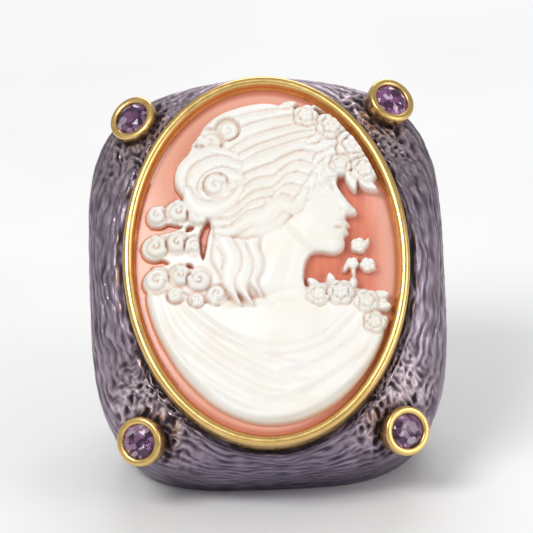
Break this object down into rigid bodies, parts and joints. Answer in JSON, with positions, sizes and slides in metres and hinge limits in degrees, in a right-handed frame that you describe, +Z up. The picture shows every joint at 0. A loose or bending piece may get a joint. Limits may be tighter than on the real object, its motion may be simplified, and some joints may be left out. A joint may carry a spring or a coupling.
{
  "type": "cameo ring",
  "caption": "Cameo ring: an oval shell cameo in a gilt collar on a domed blackened silver head with round corner stones.",
  "frame": {"origin": "middle of the bounding box at the level of the surface that the ring lies on", "axes": "the ring lies on its wrist-side flank; +Z is up, +X runs across the finger, and the finger hole rises towards +Y"},
  "size_m": [0.0304, 0.0366, 0.0337],
  "materials": {
    "blackened_silver": "textured, oxidised, worn bright on the ridges",
    "gilt": "polished",
    "shell": "polished shell, white on coral",
    "violet_stone": "faceted and polished"
  },
  "bodies": {
    "root": {"ring_body": "blackened_silver", "cameo_collar": "gilt", "cameo": "shell", "collet_tip_left": "gilt", "collet_tip_right": "gilt", "collet_wrist_left": "gilt", "collet_wrist_right": "gilt", "gem_tip_left": "violet_stone", "gem_tip_right": "violet_stone", "gem_wrist_left": "violet_stone", "gem_wrist_right": "violet_stone"}
  },
  "joints": []
}
